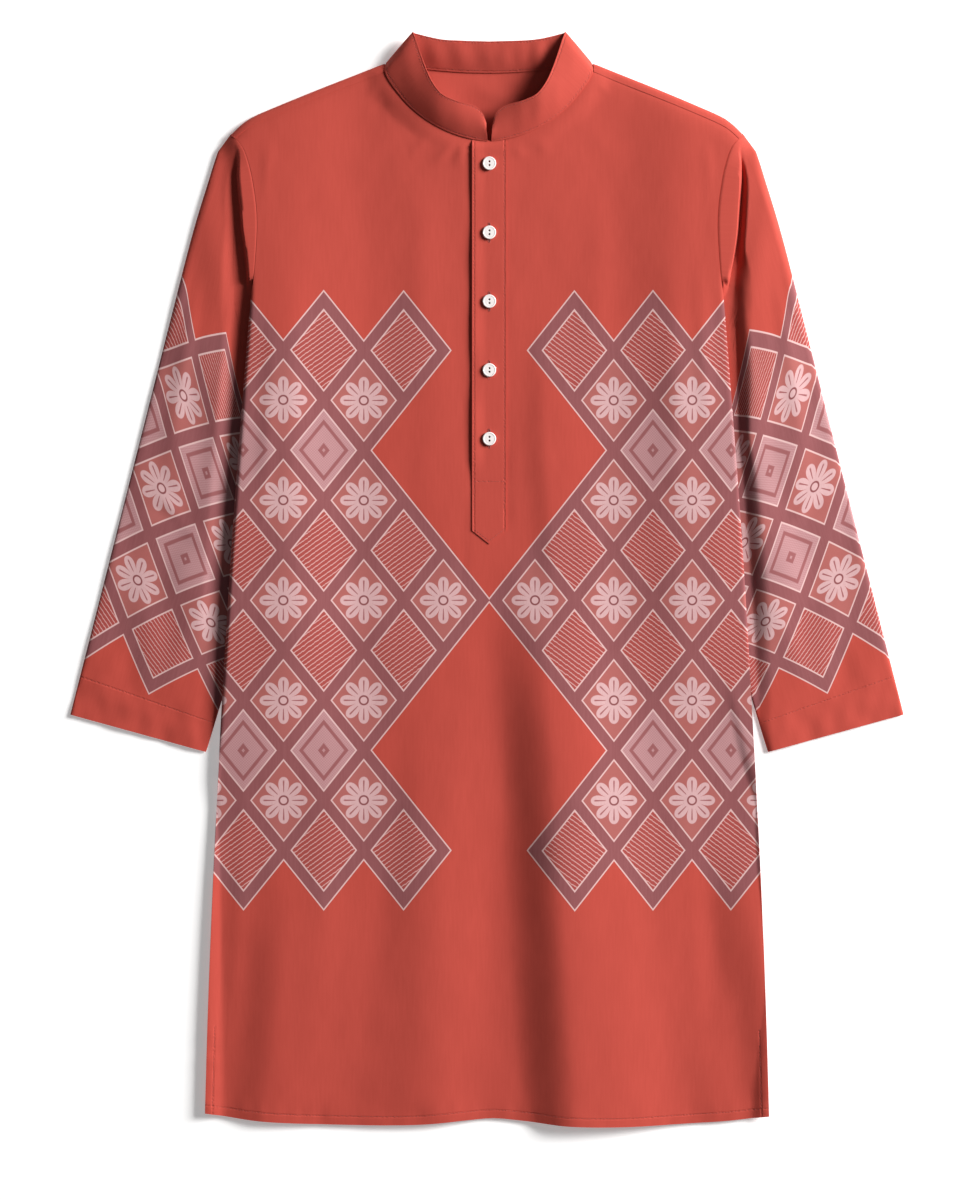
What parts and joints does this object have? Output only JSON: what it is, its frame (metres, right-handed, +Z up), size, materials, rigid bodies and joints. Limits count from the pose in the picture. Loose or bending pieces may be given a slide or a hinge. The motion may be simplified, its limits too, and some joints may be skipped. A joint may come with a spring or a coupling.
{
  "type": "kurta",
  "caption": "Long-sleeved knee-length kurta laid flat on its back: stand collar, buttoned half placket, side slits, sleeves down.",
  "frame": {"origin": "under the middle of the garment's outline, on the surface it lies on", "axes": "+Y from hem to collar, +X to the viewer's right (the wearer's left), +Z up from the surface, out of the front of the garment"},
  "size_m": [0.8012, 1.0498, 0.0231],
  "materials": {
    "body_cloth": "matte plain-weave cotton, coral red",
    "trim_cloth": "the same cotton, interfaced",
    "buttons": "white, softly polished"
  },
  "bodies": {
    "root": {"back_panel": "body_cloth", "front_panel": "body_cloth", "sleeve_left": "body_cloth", "sleeve_right": "body_cloth", "collar_band": "trim_cloth", "placket_under": "trim_cloth", "placket_over": "trim_cloth", "button_1": "buttons", "button_2": "buttons", "button_3": "buttons", "button_4": "buttons", "button_5": "buttons"}
  },
  "joints": []
}
